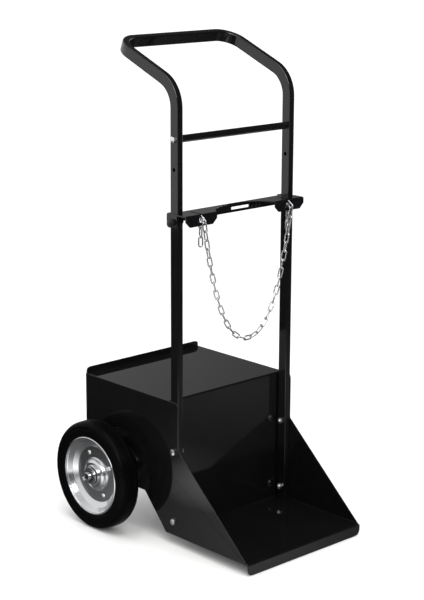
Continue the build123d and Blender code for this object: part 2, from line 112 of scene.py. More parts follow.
class TrolleyWheels(bpy.types.PropertyGroup):
    """Tyres, rims and hubs."""
    rubber: bpy.props.FloatVectorProperty(
        name="Rubber", description="Colour of the tyre", subtype="COLOR", size=3,
        min=0, max=1, default=colour("050506"))
    zinc: bpy.props.FloatVectorProperty(
        name="Zinc", description="Colour of the zinc-plated pressings", subtype="COLOR", size=3,
        min=0, max=1, default=colour("d2d3d5"))
    radius: bpy.props.FloatProperty(
        name="Radius", description="Outer radius of the tyre", unit="LENGTH",
        default=(TYRE_HIGH.z - TYRE_LOW.z) / 2)
    rivets: bpy.props.IntProperty(
        name="Rivets", description="Rivets that join the two dishes of a rim", min=3, max=8, default=4)


class TrolleyChain(bpy.types.PropertyGroup):
    """The retaining chain."""
    wire: bpy.props.FloatProperty(
        name="Wire", description="Radius of the chain's wire", unit="LENGTH", default=1.5 * MM)
    half: bpy.props.FloatProperty(
        name="Half width", description="From a link's middle line to its wire's centre line",
        unit="LENGTH", default=4.5 * MM)
    pitch: bpy.props.FloatProperty(
        name="Pitch", description="Length that one link adds to the chain", unit="LENGTH",
        default=19.6 * MM)
    links: bpy.props.IntProperty(
        name="Links", description="Links between the two ears", min=3, max=99, default=33)
    spare: bpy.props.IntProperty(
        name="Spare links", description="Links that hang behind each ear", min=1, max=9, default=3)
    twist: bpy.props.FloatProperty(
        name="Twist", description="Largest turn of a link about its own length", unit="ROTATION",
        default=math.radians(7))


class TrolleyStage(bpy.types.PropertyGroup):
    """Floor, light and camera."""
    floor: bpy.props.FloatVectorProperty(
        name="Floor", description="Colour of the floor", subtype="COLOR", size=3,
        min=0, max=1, default=colour("f4f4f3"))
    key: bpy.props.FloatProperty(
        name="Key light", description="Power of the large light above", min=0, default=60.0)
    flash: bpy.props.FloatProperty(
        name="Flash", description="Power of the small softbox beside the camera", min=0, default=12.0)
    room: bpy.props.FloatProperty(
        name="Room", description="Brightness of the room as the gloss mirrors it", min=0, default=1.0)
    lens: bpy.props.FloatProperty(
        name="Lens", description="Focal length on a sensor 36 mm high, in millimetres", min=10,
        default=97.7)


# --- meshes ----------------------------------------------------------------

def rounded(corners, radius, steps=6, closed=True):
    """Corner points with each corner turned into an arc.
    A corner's arc is the parabola that leaves both sides where a circle of that radius would touch
    them; its middle control point is the corner. Points closer than a micron are merged."""
    p = np.asarray(corners, float)
    r = np.broadcast_to(np.asarray(radius, float), len(p)).copy()
    if not closed:
        r[[0, -1]] = 0
    before, after = np.roll(p, 1, 0) - p, np.roll(p, -1, 0) - p
    lengths = np.stack([np.linalg.norm(before, axis=1), np.linalg.norm(after, axis=1)])
    before, after = before / lengths[0][:, None], after / lengths[1][:, None]
    half = np.arccos(np.clip((before * after).sum(1), -1, 1)) / 2
    cut = np.minimum(r / np.tan(np.maximum(half, LEAST_ANGLE)), ARC_SHARE * lengths.min(0))[:, None, None]
    t = np.linspace(0, 1, steps)[None, :, None]
    p, before, after = p[:, None], before[:, None], after[:, None]
    arcs = (1 - t) ** 2 * (p + before * cut) + 2 * t * (1 - t) * p + t ** 2 * (p + after * cut)
    points = arcs.reshape(-1, p.shape[-1])
    keep = np.linalg.norm(points - np.roll(points, 1, 0), axis=1) > MICRON
    keep[0] = keep[0] or not closed
    return points[keep]


def shell(points, wrap=(False, True), caps=True):
    """Vertices and faces of a closed skin on a grid of points.
    Neighbours are joined by quads, round to the start along each wrapped direction, and caps close
    the first and last row. The winding is turned over if the volume it encloses is negative."""
    rows, columns = points.shape[:2]
    index = np.arange(rows * columns).reshape(rows, columns)
    if wrap[0]:
        index = np.vstack([index, index[:1]])
    if wrap[1]:
        index = np.hstack([index, index[:, :1]])
    quads = np.stack([index[:-1, :-1], index[1:, :-1], index[1:, 1:], index[:-1, 1:]], -1).reshape(-1, 4)
    ends = [index[0, :columns], index[-1, :columns][::-1]] if caps else []
    flat = points.reshape(-1, 3)
    a, b, c, d = (flat[quads[:, k]] - flat[0] for k in range(4))
    volume = (np.einsum("ij,ij->i", a, np.cross(b, c)) + np.einsum("ij,ij->i", a, np.cross(c, d))).sum()
    for end in ends:
        edge = flat[end] - flat[0]
        volume += (np.cross(edge, np.roll(edge, -1, 0)) @ edge.mean(0)).sum()
    if volume < 0:
        quads, ends = quads[:, ::-1], [end[::-1] for end in ends]
    return flat, quads, ends


def piece(name, shells, material, sharp=32):
    """One object from closed skins, at the origin, smooth apart from edges sharper than an angle."""
    faces, start = [], 0
    for points, quads, ends in shells:
        faces += (quads + start).tolist() + [(end + start).tolist() for end in ends]
        start += len(points)
    mesh = bpy.data.meshes.new(name)
    mesh.from_pydata(np.vstack([points for points, quads, ends in shells]).tolist(), [], faces)
    mesh.update()
    mesh.shade_smooth()
    mesh.set_sharp_from_angle(angle=math.radians(sharp))
    mesh.materials.append(material)
    made = bpy.data.objects.new(name, mesh)
    made.modifiers.new("flat faces stay flat", "WEIGHTED_NORMAL").keep_sharp = True
    bpy.context.scene.collection.objects.link(made)
    return made


def place(made, body, nodes):
    """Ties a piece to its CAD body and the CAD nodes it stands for."""
    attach(made, body)
    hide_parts(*nodes)


def quarter(edge):
    """A rounded edge as angles from 0 to 90 degrees, with how far each point is set in, the radius
    times one minus the sine, and its depth, the radius times one minus the cosine."""
    turn = np.linspace(0, math.pi / 2, EDGE_STEPS)
    return turn, edge * (1 - np.sin(turn)), edge * (1 - np.cos(turn))


def plate(outline, low, high, edge):
    """A flat plate across X from its outline in Y and Z, with rounded edges.
    The outline is set in and carried across by the steps of a quarter circle at both faces, along
    the line that halves each corner."""
    side = np.roll(outline, -1, 0) - outline
    normal = np.stack([side[:, 1], -side[:, 0]], 1) / np.linalg.norm(side, axis=1)[:, None]
    last = np.roll(normal, 1, 0)
    miter = (normal + last) / (1 + (normal * last).sum(1))[:, None]
    _, inset, depth = quarter(edge)
    inset = np.concatenate([inset, inset[::-1]])
    across = np.concatenate([low + depth, (high - depth)[::-1]])
    rings = outline[None] - inset[:, None, None] * miter[None]
    grid = np.concatenate([np.broadcast_to(across[:, None, None], rings.shape[:2] + (1,)), rings], 2)
    return shell(grid)


def folded(path, half, thick, edge):
    """A sheet folded along X: a rounded bar section carried along a path in Y and Z.
    The section is twice the half width by the thickness, with its corners rounded by the edge
    radius; the half width may change along the path. Both ends are rounded in the same way."""
    tangent = np.gradient(path, axis=0)
    tangent /= np.linalg.norm(tangent, axis=1)[:, None]
    normal = np.stack([-tangent[:, 1], tangent[:, 0]], 1)
    turn, inset, shift = quarter(edge)
    start = path[0] + tangent[0] * shift[:, None]
    end = (path[-1] - tangent[-1] * shift[:, None])[::-1]
    inner = np.linalg.norm(path - path[0], axis=1) > edge
    inner &= np.linalg.norm(path - path[-1], axis=1) > edge
    line = np.concatenate([start, path[inner], end])
    normal = np.concatenate([np.repeat(normal[:1], EDGE_STEPS, 0), normal[inner],
                             np.repeat(normal[-1:], EDGE_STEPS, 0)])
    wide = np.concatenate([half[0] - inset, half[inner], (half[-1] - inset)[::-1]])
    deep = np.concatenate([thick / 2 - inset, np.full(inner.sum(), thick / 2), (thick / 2 - inset)[::-1]])
    bend = np.minimum(edge, deep * NEARLY_ALL)
    corner = np.repeat([0, 1, 2, 3], EDGE_STEPS) * math.pi / 2
    angle = corner + np.tile(turn, 4)
    x_sign, n_sign = np.sign(np.cos(corner + 0.5)), np.sign(np.sin(corner + 0.5))
    x = (wide - bend)[:, None] * x_sign + bend[:, None] * np.cos(angle)
    n = (deep - bend)[:, None] * n_sign + bend[:, None] * np.sin(angle)
    yz = line[:, None] + n[..., None] * normal[:, None]
    return shell(np.concatenate([x[..., None], yz], 2))


def turned(profile, side, count=96, closed=True, centre=(WHEEL_Y, WHEEL_Z)):
    """A profile of (distance from the trolley's middle, radius) turned about the wheel's axis.
    A closed profile gives a ring; an open one gives a bar whose two ends are capped."""
    angle = np.linspace(0, 2 * math.pi, count, endpoint=False)
    along, radius = profile[:, 0], profile[:, 1]
    grid = np.stack([np.broadcast_to(side * along[:, None], (len(along), count)),
                     centre[0] + radius[:, None] * np.cos(angle),
                     centre[1] + radius[:, None] * np.sin(angle)], 2)
    return shell(grid, wrap=(closed, True), caps=not closed)


def hexagonal(stations, at, facing, phase=0.0):
    """A hexagonal head or nut standing on a point, facing along X.
    stations are (height, hexagon's inner radius, cone radius): at each angle the radius is the
    smaller of the hexagon's, which is the inner radius over the cosine of the angle from the
    nearest flat, and the cone's, so the chamfer leaves its scalloped curve on the flats."""
    angle = np.linspace(0, 2 * math.pi, 72, endpoint=False)
    flat = (angle + phase + math.pi / 6) % (math.pi / 3) - math.pi / 6
    height, inner, cone = (np.array(column)[:, None] for column in zip(*stations))
    radius = np.minimum(inner / np.cos(flat), cone)
    grid = np.stack([at[0] + facing * np.broadcast_to(height, radius.shape),
                     at[1] + radius * np.cos(angle), at[2] + radius * np.sin(angle)], 2)
    return shell(grid)


# --- materials -------------------------------------------------------------

def add(tree, kind, inputs=None, **settings):
    """Adds one node. settings are its own attributes; inputs are values or sockets to link."""
    made = tree.nodes.new("ShaderNode" + kind)
    for key, value in settings.items():
        setattr(made, key, value)
    for key, value in (inputs or {}).items():
        if isinstance(value, bpy.types.NodeSocket):
            tree.links.new(value, made.inputs[key])
        else:
            made.inputs[key].default_value = value
    return made


def surface(name, **sockets):
    """A material with one Principled shader whose constants are set on its own sockets, and the
    Object coordinates that its patterns read."""
    material = bpy.data.materials.get(name) or bpy.data.materials.new(name)
    material.use_nodes = True
    tree = material.node_tree
    tree.nodes.clear()
    shader = add(tree, "BsdfPrincipled", sockets)
    add(tree, "OutputMaterial", {"Surface": shader.outputs[0]})
    return material, tree, shader, add(tree, "TexCoord").outputs["Object"]


def vary(tree, shader, tint, colours, gloss, roughness, relief, depth):
    """Lets three patterns vary a finish: one blends two colours, one spreads the roughness between
    two values, and one raises the surface by a depth in metres at most."""
    first, second = (tuple(np.clip(shade, 0, 1)) + (1,) for shade in colours)
    mixed = add(tree, "Mix", {0: tint, 6: first, 7: second}, data_type="RGBA").outputs[2]
    least, most = roughness
    rough = add(tree, "MapRange", {"Value": gloss, "To Min": least, "To Max": most}).outputs[0]
    bumped = add(tree, "Bump", {"Height": relief, "Distance": depth, "Strength": 1.0}).outputs[0]
    for socket, value in (("Base Color", mixed), ("Roughness", rough), ("Normal", bumped)):
        tree.links.new(value, shader.inputs[socket])


def wheel_radius(tree, here):
    """Distance of a point from the wheels' axis, as a socket."""
    centred = add(tree, "VectorMath", {0: here, 1: (0, WHEEL_Y, WHEEL_Z)}, operation="SUBTRACT")
    flat = add(tree, "VectorMath", {0: centred.outputs[0], 1: (0, 1, 1)}, operation="MULTIPLY")
    return add(tree, "VectorMath", {0: flat.outputs[0]}, operation="LENGTH").outputs["Value"]


def powder_coat():
    """Black polyester powder coat, cured gloss: deep black, a clear but slightly wavy mirror image
    from its orange peel, and a little dust that lifts the black here and there."""
    body = bpy.context.scene.trolley_body
    material, tree, shader, here = surface("powder coat, gloss black polyester, cured", IOR=1.5)
    peel = add(tree, "TexNoise", {"Vector": here, "Scale": 1 / body.peel, "Detail": 1.0}).outputs[0]
    dust = add(tree, "TexNoise", {"Vector": here, "Scale": 1 / (90 * MM), "Detail": 4.0}).outputs[0]
    coat, rough = np.array(body.coat[:]), body.coat_roughness
    vary(tree, shader, dust, (coat * 0.8, coat * 1.35), dust, (rough * 0.75, rough * 1.3), peel, 0.004 * MM)
    return material


def plated(name, base, roughness, grain):
    """Zinc plating: bright bluish grey metal, a soft mirror with cloudy patches of passivation."""
    material, tree, shader, here = surface(name, Metallic=1.0)
    cloud = add(tree, "TexNoise", {"Vector": here, "Scale": 1 / grain, "Detail": 4.0}).outputs[0]
    crystal = add(tree, "TexNoise", {"Vector": here, "Scale": 9 / grain, "Detail": 2.0}).outputs[0]
    base = np.array(base)
    vary(tree, shader, cloud, (base * 0.86, base * 1.12), cloud, (roughness * 0.7, roughness * 1.35),
         crystal, 0.01 * MM)
    return material


def pressed_zinc():
    """Deep-drawn sheet with bright zinc plate: fine drawing rings round the axle smear its
    reflections, and slow clouds of passivation dull them."""
    material, tree, shader, here = surface("zinc plate on pressed sheet steel", Metallic=1.0)
    zinc = np.array(bpy.context.scene.trolley_wheels.zinc[:])
    ring = add(tree, "TexNoise", {"W": wheel_radius(tree, here), "Scale": 1 / (0.7 * MM), "Detail": 3.0},
               noise_dimensions="1D").outputs[0]
    cloud = add(tree, "TexNoise", {"Vector": here, "Scale": 1 / (25 * MM), "Detail": 3.0}).outputs[0]
    vary(tree, shader, ring, (zinc * 0.85, zinc * 1.08), cloud, (0.13, 0.24), ring, 0.02 * MM)
    return material


def turned_steel(name, base, roughness):
    """Steel turned or drawn on a lathe: fine rings across its length pull highlights into lines."""
    material, tree, shader, here = surface(name, Metallic=1.0)
    across = add(tree, "SeparateXYZ", {0: here}).outputs[0]
    ring = add(tree, "TexNoise", {"W": across, "Scale": 1 / (0.5 * MM), "Detail": 3.0},
               noise_dimensions="1D").outputs[0]
    cloud = add(tree, "TexNoise", {"Vector": here, "Scale": 1 / (8 * MM), "Detail": 2.0}).outputs[0]
    base = np.array(base)
    vary(tree, shader, ring, (base * 0.8, base * 1.15), cloud, (roughness * 0.8, roughness * 1.3),
         ring, 0.02 * MM)
    return material


def moulded_rubber():
    """Solid black rubber, moulded: dull black with fine rings from the turned mould and a faint
    grey bloom, a little glossier where the mould was smooth."""
    material, tree, shader, here = surface("solid rubber, moulded", **{"Specular IOR Level": 0.03})
    rubber = np.array(bpy.context.scene.trolley_wheels.rubber[:])
    ring = add(tree, "TexNoise", {"W": wheel_radius(tree, here), "Scale": 1 / (1.3 * MM), "Detail": 3.0},
               noise_dimensions="1D").outputs[0]
    bloom = add(tree, "TexNoise", {"Vector": here, "Scale": 1 / (30 * MM), "Detail": 4.0}).outputs[0]
    grain = add(tree, "TexNoise", {"Vector": here, "Scale": 1 / (0.8 * MM), "Detail": 2.0}).outputs[0]
    relief = add(tree, "Math", {0: ring, 1: grain}, operation="ADD").outputs[0]
    vary(tree, shader, bloom, (rubber * 0.7, rubber * 1.5), ring, (0.22, 0.36), relief, 0.04 * MM)
    return material


def dark_finish(name, base, roughness, metallic, grain):
    """A thin dark finish: near black, with speckle the size of its grain."""
    material, tree, shader, here = surface(name, Metallic=metallic)
    speck = add(tree, "TexNoise", {"Vector": here, "Scale": 1 / grain, "Detail": 3.0}).outputs[0]
    base = np.array(base)
    vary(tree, shader, speck, (base * 0.7, base * 1.4), speck, (roughness * 0.8, roughness * 1.2),
         speck, 0.012 * MM)
    return material


def finishes():
    """Every finish by its record slot."""
    return {
        "black_gloss": powder_coat(),
        "black_bolt": dark_finish("black oxide on forged steel", colour("1c1c1e"), 0.34, 0.6, 1.2 * MM),
        "zinc_bolt": plated("zinc plate on cold-headed steel", colour("e6e7e9"), 0.24, 3 * MM),
        "zinc_chain": plated("zinc plate on welded wire links", colour("c9cbce"), 0.26, 4 * MM),
        "zinc_rim": pressed_zinc(),
        "axle_steel": turned_steel("drawn steel bar", colour("b4b6b9"), 0.18),
        "hub_steel": turned_steel("turned steel, zinc plated", colour("d8dadd"), 0.12),
        "spring_steel": dark_finish("phosphated spring steel", colour("4a4a4c"), 0.4, 0.9, 0.6 * MM),
        "bearing_plastic": dark_finish("moulded black nylon", colour("1a1a1b"), 0.5, 0.0, 0.7 * MM),
        "rubber_tyre": moulded_rubber(),
    }


FINISH = {}


def finish(slot):
    """The finish of a record slot."""
    if not FINISH:
        FINISH.update(finishes())
    return FINISH[slot]


def dress(nodes, slot):
    """Gives CAD nodes their finish."""
    for name in nodes:
        mesh = frame["nodes"][name].data
        mesh.materials.clear()
        mesh.materials.append(finish(slot))


# --- operators -------------------------------------------------------------

class TROLLEY_OT_tube_frame(bpy.types.Operator):
    """Coats the bent tube and its crossbar"""
    bl_idname = "trolley.tube_frame"
    bl_label = "Tube frame"

    def execute(self, context):
        dress(["handle_frame", "crossbar", "cylinder_bracket"], "black_gloss")
        return {"FINISHED"}


class TROLLEY_OT_panels(bpy.types.Operator):
    """Builds the side plates, shelf panel and toe plate with rounded edges, folds and weld beads"""
    bl_idname = "trolley.panels"
    bl_label = "Panels"

    SLOPE_TOP = 224.5 * MM
    SLOPE_TURN = 51.0 * MM
    BOX_BOTTOM = 102.5 * MM
    PLATE_FRONT = -60.0 * MM
    FOOT_REAR = -20 * MM
    # radii of a side plate's corners, from the box's lower rear corner up and round
    PLATE_ROUNDS = np.array([5, 0.6, 13, 2, 0.4, 1, 1]) * MM
    SHELF_FOLDS = np.array([0, 3, 2, 0]) * MM
    TOE_FOLDS = np.array([0, 1.6, 0]) * MM
    FOLD_STEPS = 9
    STOP_CORNER = 9 * MM
    LIP_CORNER = 14 * MM
    WELD = 1.2 * MM
    WELD_START = 3 * MM     # behind the toe plate's front

    def execute(self, context):
        body = context.scene.trolley_body
        sheet, edge = body.sheet, body.edge
        coat = finish("black_gloss")
        back, top, low = PLATE_HIGH.y, PLATE_HIGH.z, PLATE_LOW.z
        corners = [(back, self.BOX_BOTTOM), (back, top), (self.PLATE_FRONT, top),
                   (self.PLATE_FRONT, self.SLOPE_TOP), (PLATE_LOW.y, low), (self.FOOT_REAR, low),
                   (self.SLOPE_TURN, self.BOX_BOTTOM)]
        outline = rounded(corners, self.PLATE_ROUNDS, self.FOLD_STEPS)
        for name, side in SIDES.items():
            outer = side * -PLATE_LOW.x
            inner = side * (-PLATE_LOW.x - sheet)
            made = piece("side_plate_" + name + "_coated",
                         [plate(outline, min(outer, inner), max(outer, inner), edge)], coat)
            place(made, "root", ["side_plate_" + name])
        half = sheet / 2
        path = rounded([(SHELF_LOW.y + half, SHELF_LOW.z), (SHELF_LOW.y + half, top - half),
                        (SHELF_HIGH.y - half, top - half), (SHELF_HIGH.y - half, SHELF_HIGH.z)],
                       self.SHELF_FOLDS, self.FOLD_STEPS, closed=False)
        path = dense(path, SHELF_HIGH.z - self.STOP_CORNER - 3 * BIT, math.inf)
        wide = SHELF_HIGH.x - corner_loss(SHELF_HIGH.z - path[:, 1], self.STOP_CORNER)
        made = piece("shelf_panel_coated", [folded(path, wide, sheet, edge)], coat)
        place(made, "root", ["shelf_panel"])
        path = rounded([(TOE_LOW.y + half, 0), (TOE_LOW.y + half, TOE_HIGH.z - half),
                        (TOE_HIGH.y, TOE_HIGH.z - half)], self.TOE_FOLDS, self.FOLD_STEPS, closed=False)
        path = dense(path, -math.inf, self.LIP_CORNER + BIT)
        wide = TOE_HIGH.x - corner_loss(path[:, 1], self.LIP_CORNER)
        wide = np.where(path[:, 0] > TOE_LOW.y + 2 * half, wide - sheet, wide)
        inner, floor = TOE_HIGH.x - sheet, TOE_HIGH.z
        front = TOE_LOW.y + self.WELD_START
        seams = [weld((side * inner, front, floor), (side * inner, TUBE_FRONT, floor), self.WELD)
                 for side in SIDES.values()]
        inner -= TUBE_WIDE
        seams.append(weld((-inner, TOE_HIGH.y, floor), (inner, TOE_HIGH.y, floor), self.WELD))
        made = piece("toe_plate_coated", [folded(path, wide, sheet, edge), *seams], coat)
        place(made, "root", ["toe_plate"])
        return {"FINISHED"}


def weld(start, end, radius):
    """A weld bead: a round bar between two points. Its radius swells by an eighth once per ripple,
    and fades at both ends as the root of the distance from the end."""
    start, end = np.array(start), np.array(end)
    length = np.linalg.norm(end - start)
    along = (end - start) / length
    across = np.cross(along, (0, 0, 1))
    s = np.linspace(0, length, round(length / (RIPPLE / 4)))
    swell = 1 + np.abs(np.sin(math.pi * s / RIPPLE)) * RIPPLE_SWELL
    fade = np.sqrt(np.clip(np.minimum(s, length - s) / (2 * MM), 0.01, 1))
    turn = np.linspace(0, 2 * math.pi, 10, endpoint=False)[:, None]
    ring = np.cos(turn) * across + np.sin(turn) * np.cross(across, along)
    return shell(start + s[:, None, None] * along + (radius * swell * fade)[:, None, None] * ring)


def corner_loss(distance, radius):
    """How much a half width loses near a rounded corner: the radius minus the circle's half chord
    at that distance from the end, and nothing beyond the radius."""
    inside = np.clip(distance, 0, radius)
    return radius - np.sqrt(radius ** 2 - (radius - inside) ** 2)


def dense(path, low, high):
    """Adds fine points along the stretches of a path that lie between two heights."""
    distance = np.concatenate([[0], np.cumsum(np.linalg.norm(np.diff(path, axis=0), axis=1))])
    more = np.arange(0, distance[-1], FINE)
    height = np.interp(more, distance, path[:, 1])
    more = more[(height > low) & (height < high)]
    every = np.unique(np.round(np.concatenate([distance, more]) / MICRON)) * MICRON
    return np.stack([np.interp(every, distance, path[:, k]) for k in (0, 1)], 1)


def node_middles(name):
    """Each bolt or nut of a CAD node: its side, its least and greatest distance from the trolley's
    middle plane, and the Y and Z of its box's middle. The node's vertices are parted by side, and by
    height where it is tall."""
    mesh = frame["nodes"][name].data
    points = np.zeros(len(mesh.vertices) * 3)
    mesh.vertices.foreach_get("co", points)
    points = points.reshape(-1, 3)
    low, high = points.min(0), points.max(0)
    upper = points[:, 2] > (low[2] + high[2]) / 2
    rows = (~upper, upper) if high[2] - low[2] > TWO_ROWS else (np.full(len(points), True),)
    middles = []
    for side in SIDES.values():
        for row in rows:
            part = points[row & (points[:, 0] * side > 0)]
            reach = part[:, 0] * side
            middle = (part.min(0) + part.max(0)) / 2
            middles.append((side, reach.min(), reach.max(), middle[1], middle[2]))
    return middles


class TROLLEY_OT_fasteners(bpy.types.Operator):
    """Builds the hex bolts and nuts with chamfers, washer faces and thread ends"""
    bl_idname = "trolley.fasteners"
    bl_label = "Fasteners"

    FLATS = 6.5 * MM            # from the axis to a flat
    WIDE = 3 * FLATS            # a hexagon so wide that only the cone shows
    HEAD = 5.3 * MM
    NUT = 6.5 * MM
    WASHER_FACE = 0.4 * MM
    CHAMFER = 1.1 * MM
    SLOPE = 1.75                # of the chamfer's cone
    CROWN = 0.7 * MM
    BORE_SUNK = 0.7 * MM        # of the thread's end in a nut
    SHANK = 4.0 * MM
    PITCH = 1.25 * MM
    THREAD_DEPTH = 0.28 * MM
    TIP = 0.9 * MM
    TIP_RADIUS = 2.6 * MM
    # turn of the first, and how much further each next one is turned
    BOLT_TURN = (0.35, 0.9)
    NUT_TURN = (0.2, 0.7)

    def head(self, height):
        """Stations of a head: washer face, flats, chamfer cone and a slightly crowned top."""
        flats, wide = self.FLATS, self.WIDE
        levels = np.concatenate([[self.WASHER_FACE], np.linspace(height - self.CHAMFER, height, 8)])
        body = [(z, flats, flats * 0.95 + (height - z) * self.SLOPE) for z in levels]
        foot = [(z, wide, flats * 0.97) for z in (0, self.WASHER_FACE - 0.02 * MM)]
        crown = np.linspace(0.9, 0.04, 7)
        top = [(height + self.CROWN * (crown[0] ** 2 - c * c), wide, flats * c) for c in crown]
        return foot + body + top

    def thread(self, reach):
        """Stations of a threaded end: its radius swings by the thread's depth once per pitch, and
        its tip is chamfered."""
        z = np.arange(0, reach, self.PITCH / 6)
        swing = self.THREAD_DEPTH * np.abs(2 * ((z / self.PITCH) % 1) - 1)
        radius = np.minimum(self.SHANK - swing, self.SHANK - self.TIP + (reach - z))
        return [(h, self.WIDE, r) for h, r in zip(z, radius)] + [(reach, self.WIDE, self.TIP_RADIUS)]

    def execute(self, context):
        for name, slot in (("crossbar_bolts", "zinc_bolt"), ("bracket_bolts", "black_bolt"),
                           ("body_bolts", "zinc_bolt")):
            skins = []
            for number, (side, near, far, y, z) in enumerate(node_middles(name)):
                face = side * (far - self.HEAD)
                turn = self.BOLT_TURN[0] + self.BOLT_TURN[1] * number
                skins.append(hexagonal(self.head(self.HEAD), (face, y, z), side, turn))
                if name != "crossbar_bolts":
                    skins.append(hexagonal(self.thread(far - self.HEAD - near), (face, y, z), -side))
            place(piece(name + "_headed", skins, finish(slot), 40), "root", [name])
        nut = self.head(self.NUT)[:-1] + [(self.NUT - self.BORE_SUNK, self.WIDE, self.SHANK)]
        for name, slot in (("bracket_nuts", "black_bolt"), ("body_nuts", "zinc_bolt")):
            skins = [hexagonal(nut, (side * far, y, z), -side, self.NUT_TURN[0] + self.NUT_TURN[1] * number)
                     for number, (side, near, far, y, z) in enumerate(node_middles(name))]
            place(piece(name + "_chamfered", skins, finish(slot), 40), "root", [name])
        return {"FINISHED"}


def links(middles, along, flat, phase=0):
    """Chain links of round wire, all at once.
    The centre line is a stadium: two straight sides joined by half circles. The wire's section is a
    circle in the plane of the line's outward normal and the link's own normal. Near the middle of one
    side the wire swells by a tenth, as the butt weld leaves it."""
    chain = bpy.context.scene.trolley_chain
    straight = (chain.pitch + LINK_PLAY - 2 * (chain.half - chain.wire)) / 2
    turn = np.linspace(-math.pi / 2, math.pi / 2, 11)
    sides = np.linspace(1, -1, 9)[1:-1]
    one = np.ones(len(sides))
    u = np.concatenate([straight + chain.half * np.cos(turn), straight * sides,
                        -straight - chain.half * np.cos(turn), -straight * sides])
    out_u = np.concatenate([np.cos(turn), 0 * one, -np.cos(turn), 0 * one])
    out_v = np.concatenate([np.sin(turn), one, -np.sin(turn), -one])
    v = chain.half * out_v
    swell = 1 + BUTT_SWELL * np.exp(-(u / BUTT_REACH) ** 2) * (out_v > 0.5)
    section = np.linspace(0, 2 * math.pi, 12, endpoint=False)
    radius = (chain.wire * swell)[:, None]
    local_u = u[:, None] + radius * np.cos(section) * out_u[:, None]
    local_v = v[:, None] + radius * np.cos(section) * out_v[:, None]
    local_w = radius * np.sin(section)
    normal = np.cross(along, flat)
    grids = (middles[:, None, None] + local_u[..., None] * along[:, None, None]
             + local_v[..., None] * flat[:, None, None] + local_w[..., None] * normal[:, None, None])
    return [shell(grid, wrap=(True, True), caps=False) for grid in grids]


def twisted(along, flat, seed, turn):
    """Turns each link's width about its length, by its own turn and a small random angle."""
    most = bpy.context.scene.trolley_chain.twist
    angle = (turn + np.random.default_rng(seed).uniform(-most, most, len(flat)))[:, None]
    return flat * np.cos(angle) + np.cross(along, flat) * np.sin(angle)


class TROLLEY_OT_chain(bpy.types.Operator):
    """Builds the hanging chain, its two anchor links and the spare tails"""
    bl_idname = "trolley.chain"
    bl_label = "Chain"

    ANCHOR_TILT = math.radians(35)
    STRAND_TURN = math.radians(43)
    TAIL_SHARE = 0.3            # of that turn that a tail's last link has
    SEED = 4
    TAIL_SEED = 7
    RATES = (0.01, 5.0)
    HALVINGS = 60

    def hanging(self, chain, hook, reach):
        """Middles and directions of the links between the ears.
        The slope of a link is its number from the middle times one rate, as weight gives it, and
        halving the interval finds the rate at which the row just spans the two hooks."""
        number = np.arange(chain.links) - (chain.links - 1) / 2
        grip = chain.wire + LINK_PLAY / 2
        low, high = self.RATES
        for _ in range(self.HALVINGS):
            rate = (low + high) / 2
            angle = np.arctan(rate * number)
            span = chain.pitch * np.cos(angle).sum() + 2 * grip * np.cos(angle[0])
            low, high = (rate, high) if span > 2 * reach else (low, rate)
        along = np.stack([np.cos(angle), 0 * angle, np.sin(angle)], 1)
        first = np.array([-reach, hook[1], hook[2]]) + grip * along[0]
        ends = first + np.cumsum(chain.pitch * along, 0)
        flat = np.stack([-np.sin(angle), 0 * angle, np.cos(angle)], 1)
        flat[1::2] = (0, 1, 0)
        return ends - chain.pitch / 2 * along, along, flat

    def execute(self, context):
        chain = context.scene.trolley_chain
        metal = finish("zinc_chain")
        reach = JOINTS["tail_right_swing"]["pos_m"][0]
        middles, along, flat = self.hanging(chain, JOINTS["chain_swing"]["pos_m"], reach)
        turn = self.STRAND_TURN * np.sin(np.linspace(0, 2 * math.pi, chain.links)) ** 2
        flat = twisted(along, flat, self.SEED, turn)
        made = piece("chain_main_links", links(middles, along, flat), metal)
        place(made, "chain", ["chain_main"])
        anchor = (ANCHOR_LOW + ANCHOR_HIGH) / 2
        ahead, down = -math.cos(self.ANCHOR_TILT), -math.sin(self.ANCHOR_TILT)
        middles = np.array([(side * reach, anchor.y, anchor.z) for side in SIDES.values()])
        along = np.tile((0, ahead, down), (2, 1))
        flat = np.tile((0, -down, ahead), (2, 1))
        made = piece("chain_anchors", links(middles, along, flat), metal)
        place(made, "root", ["chain_anchor_links"])
        for number, name in enumerate(SIDES):
            hook = np.array(JOINTS["tail_" + name + "_swing"]["pos_m"])
            drop = chain.wire + LINK_PLAY / 2 + chain.pitch * (np.arange(chain.spare) + 0.5)
            middles = hook - drop[:, None] * np.array([0, 0, 1])
            along = np.tile((0.0, 0, -1), (chain.spare, 1))
            flat = np.tile((1.0, 0, 0), (chain.spare, 1))
            flat[1::2] = (0, 1, 0)
            turn = self.STRAND_TURN * np.linspace(0, self.TAIL_SHARE, chain.spare)
            flat = twisted(along, flat, self.TAIL_SEED + number, turn)
            made = piece("chain_tail_" + name + "_links", links(middles, along, flat), metal)
            place(made, "tail_" + name, ["chain_tail_" + name])
        return {"FINISHED"}


def mirrored(half):
    """A profile's outer half, (distance from the wheel's middle, radius), followed by its mirror."""
    half = np.array(half, float)
    return np.concatenate([half, half[::-1] * (-1, 1)])


